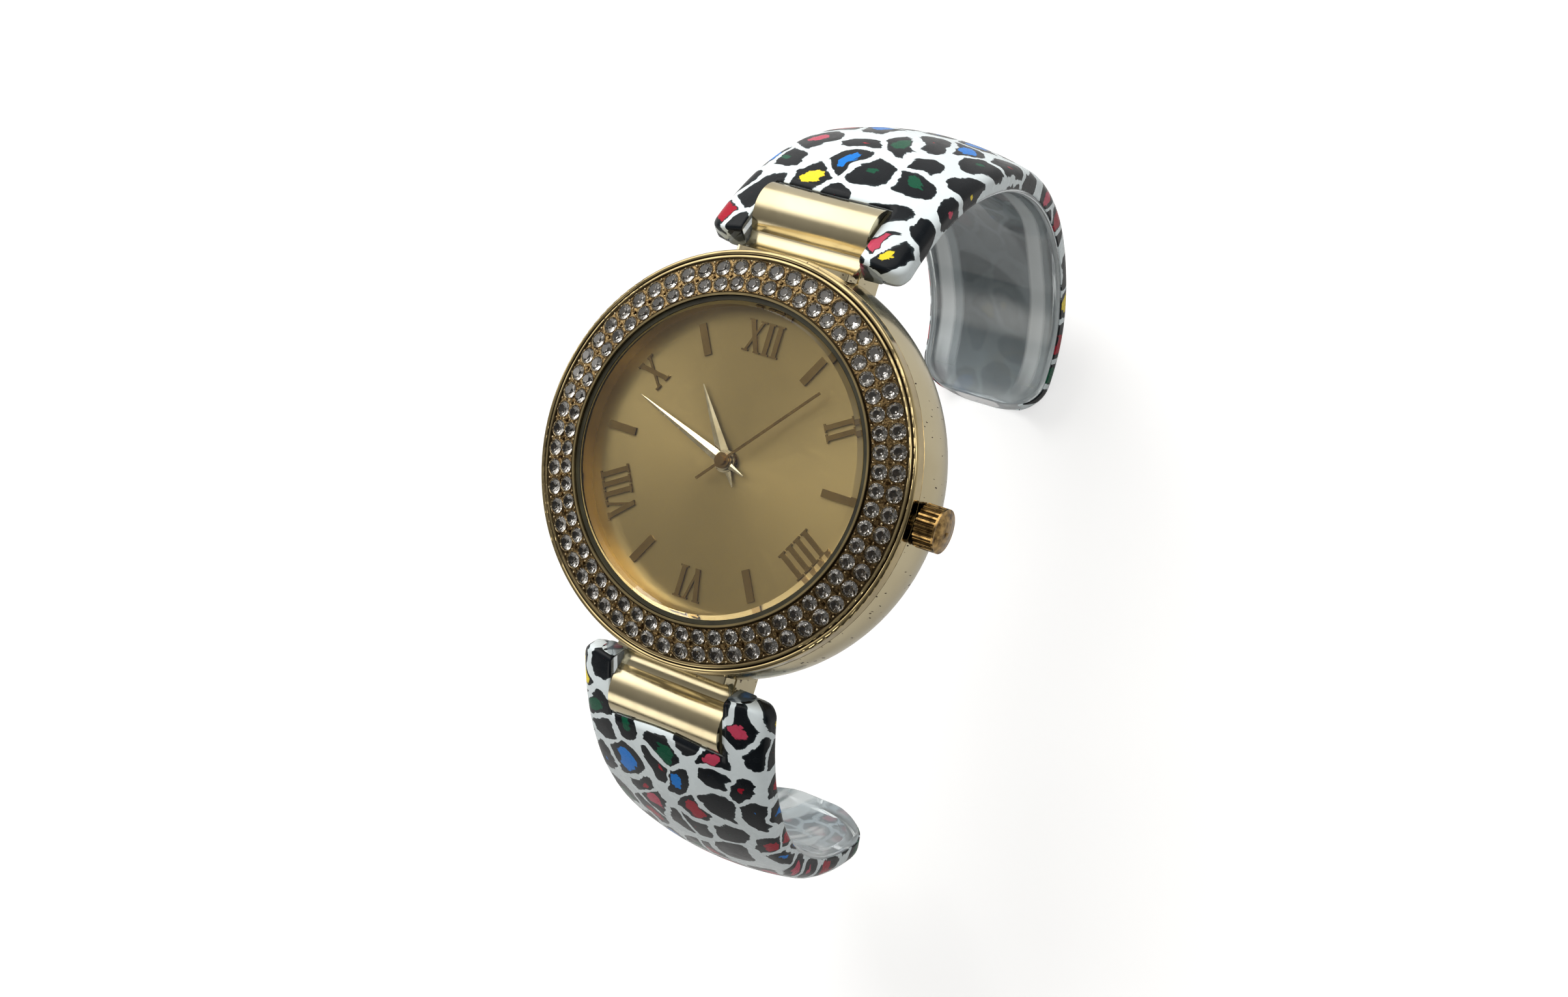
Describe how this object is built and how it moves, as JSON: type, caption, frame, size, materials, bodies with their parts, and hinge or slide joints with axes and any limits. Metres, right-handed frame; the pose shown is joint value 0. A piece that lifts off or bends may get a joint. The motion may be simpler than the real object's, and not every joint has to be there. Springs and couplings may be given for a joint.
{
  "type": "bangle watch",
  "caption": "Round bangle watch: gold-tone case, stone-set bezel, gold dial with numerals and batons, fluted crown, and spring-hinged curved clear arms with a multicolour spotted print.",
  "frame": {"origin": "centre of the case back's flat outer face, on the axis of the dial", "axes": "+Z out of the dial, +Y towards 12 o'clock and the longer arm, +X towards 3 o'clock and the crown"},
  "size_m": [0.0411, 0.0757, 0.0557],
  "materials": {
    "case_gold": "polished pale gold plating",
    "bezel_gold": "polished gold plating",
    "stone": "faceted clear paste stones, foil backed",
    "crystal_glass": "flat mineral glass with a bevelled edge",
    "gasket_white": "nylon ring",
    "dial_gold": "satin gold lacquer",
    "marker_gold": "gold, slightly darker than the dial",
    "hand_gold": "polished gold, faceted",
    "holder_plastic": "moulded spacer",
    "movement_brass": "machined brass",
    "movement_steel": "machined steel",
    "coil_copper": "enamelled copper winding on its core",
    "battery_steel": "drawn steel can",
    "board_green": "lacquered circuit board",
    "gasket_black": "rubber seal",
    "back_steel": "circular brushed steel, plain",
    "arm_clear": "clear moulded plastic, polished",
    "arm_print": "glossy printed film, coloured spots on white"
  },
  "bodies": {
    "case": {"case_middle": "case_gold", "bezel": "bezel_gold", "outer_stones": "stone", "inner_stones": "stone", "crystal": "crystal_glass", "crystal_gasket": "gasket_white", "rehaut_ring": "bezel_gold", "dial": "dial_gold", "hour_markers": "marker_gold", "movement_holder": "holder_plastic", "main_plate": "movement_brass", "train_bridge": "movement_steel", "stator": "movement_steel", "coil": "coil_copper", "battery": "battery_steel", "battery_strap": "movement_brass", "circuit_board": "board_green", "quartz_can": "battery_steel", "movement_screws": "movement_steel", "crown_tube": "case_gold", "case_back": "back_steel", "back_gasket": "gasket_black", "upper_hinge_spring": "movement_steel", "upper_hinge_bush": "movement_brass", "lower_hinge_spring": "movement_steel", "lower_hinge_bush": "movement_brass"},
    "upper_arm_body": {"upper_arm": "arm_clear", "upper_print_film": "arm_print", "upper_hinge_pin": "movement_steel"},
    "lower_arm_body": {"lower_arm": "arm_clear", "lower_print_film": "arm_print", "lower_hinge_pin": "movement_steel"},
    "seconds_body": {"fourth_wheel": "movement_brass", "second_hand": "hand_gold"},
    "rotor_body": {"rotor": "movement_steel"},
    "fifth_body": {"fifth_wheel": "movement_brass"},
    "third_body": {"third_wheel": "movement_brass"},
    "minutes_body": {"centre_wheel": "movement_brass", "cannon_pinion": "movement_steel", "minute_hand": "hand_gold"},
    "minute_wheel_body": {"minute_wheel": "movement_brass"},
    "hours_body": {"hour_wheel": "movement_brass", "hour_hand": "hand_gold"},
    "crown_slider": {"crown_gasket": "gasket_black"},
    "crown_body": {"crown": "case_gold", "stem": "movement_steel", "sliding_pinion": "movement_steel"},
    "lever_body": {"setting_lever": "movement_steel"}
  },
  "joints": [
    {"name": "upper_arm_hinge", "type": "hinge", "parent": "case", "child": "upper_arm_body", "pos_m": [0, 0.0228, 0.0025], "axis": [1, 0, 0], "range_deg": [0, 30], "stiffness_Nm_per_rad": 0.03, "springref_deg": -28.65},
    {"name": "lower_arm_hinge", "type": "hinge", "parent": "case", "child": "lower_arm_body", "pos_m": [0, -0.0228, 0.0025], "axis": [-1, 0, 0], "range_deg": [0, 30], "stiffness_Nm_per_rad": 0.03, "springref_deg": -28.65},
    {"name": "seconds", "type": "hinge", "parent": "case", "child": "seconds_body", "pos_m": [0, 0, 0.005], "axis": [0, 0, -1], "continuous": true},
    {"name": "rotor_spin", "type": "hinge", "parent": "case", "child": "rotor_body", "pos_m": [0, 0.0053, 0.004], "axis": [0, 0, -1], "continuous": true},
    {"name": "fifth_spin", "type": "hinge", "parent": "case", "child": "fifth_body", "pos_m": [0, 0.003, 0.004], "axis": [0, 0, -1], "continuous": true},
    {"name": "third_spin", "type": "hinge", "parent": "case", "child": "third_body", "pos_m": [0.0021, -0.00215, 0.004], "axis": [0, 0, -1], "continuous": true},
    {"name": "minutes", "type": "hinge", "parent": "case", "child": "minutes_body", "pos_m": [0, 0, 0.005], "axis": [0, 0, -1], "continuous": true},
    {"name": "minute_wheel_spin", "type": "hinge", "parent": "case", "child": "minute_wheel_body", "pos_m": [-0.00184, 0.00184, 0.006], "axis": [0, 0, -1], "continuous": true},
    {"name": "hours", "type": "hinge", "parent": "case", "child": "hours_body", "pos_m": [0, 0, 0.006], "axis": [0, 0, -1], "continuous": true},
    {"name": "crown_pull", "type": "slide", "parent": "case", "child": "crown_slider", "axis": [1, 0, 0], "range_m": [0, 0.0007]},
    {"name": "crown_spin", "type": "hinge", "parent": "crown_slider", "child": "crown_body", "pos_m": [0.02, 0, 0.0059], "axis": [1, 0, 0], "continuous": true},
    {"name": "lever_swing", "type": "hinge", "parent": "case", "child": "lever_body", "pos_m": [0.00815, -0.00349, 0.0059], "axis": [0, 0, -1], "range_deg": [-0.5, 12.87]}
  ],
  "couplings": [
    {"joint": "rotor_spin", "follows": "seconds", "ratio": 30},
    {"joint": "fifth_spin", "follows": "seconds", "ratio": -5},
    {"joint": "third_spin", "follows": "seconds", "ratio": -0.13333},
    {"joint": "minutes", "follows": "seconds", "ratio": 0.016667},
    {"joint": "minute_wheel_spin", "follows": "seconds", "ratio": -0.0055556},
    {"joint": "hours", "follows": "seconds", "ratio": 0.0013889},
    {"joint": "lever_swing", "follows": "crown_pull", "rad_per_m": 308.29}
  ]
}
